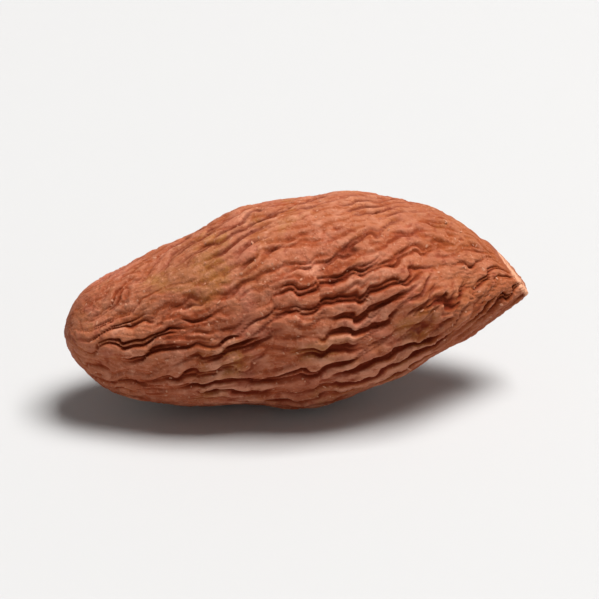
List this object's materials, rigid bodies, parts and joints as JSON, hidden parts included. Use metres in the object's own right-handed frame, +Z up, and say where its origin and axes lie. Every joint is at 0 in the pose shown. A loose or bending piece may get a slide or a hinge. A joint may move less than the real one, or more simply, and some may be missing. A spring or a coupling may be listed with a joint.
{
  "type": "malva nut",
  "caption": "Whole dried malva nut, a plump oval seed with a deeply wrinkled red-brown skin, one blunt end and one tapered end with a pale scar, lying on its side.",
  "frame": {"origin": "on the surface that the nut lies on, below the middle of its bounding box", "axes": "+X along the nut from its blunt end to its scarred, tapered end, +Z up"},
  "size_m": [0.0252, 0.0118, 0.0113],
  "materials": {
    "skin": "dry wrinkled seed coat, matte to satin, with a pale corky scar at one end"
  },
  "bodies": {
    "root": {"malva_nut": "skin"}
  },
  "joints": []
}
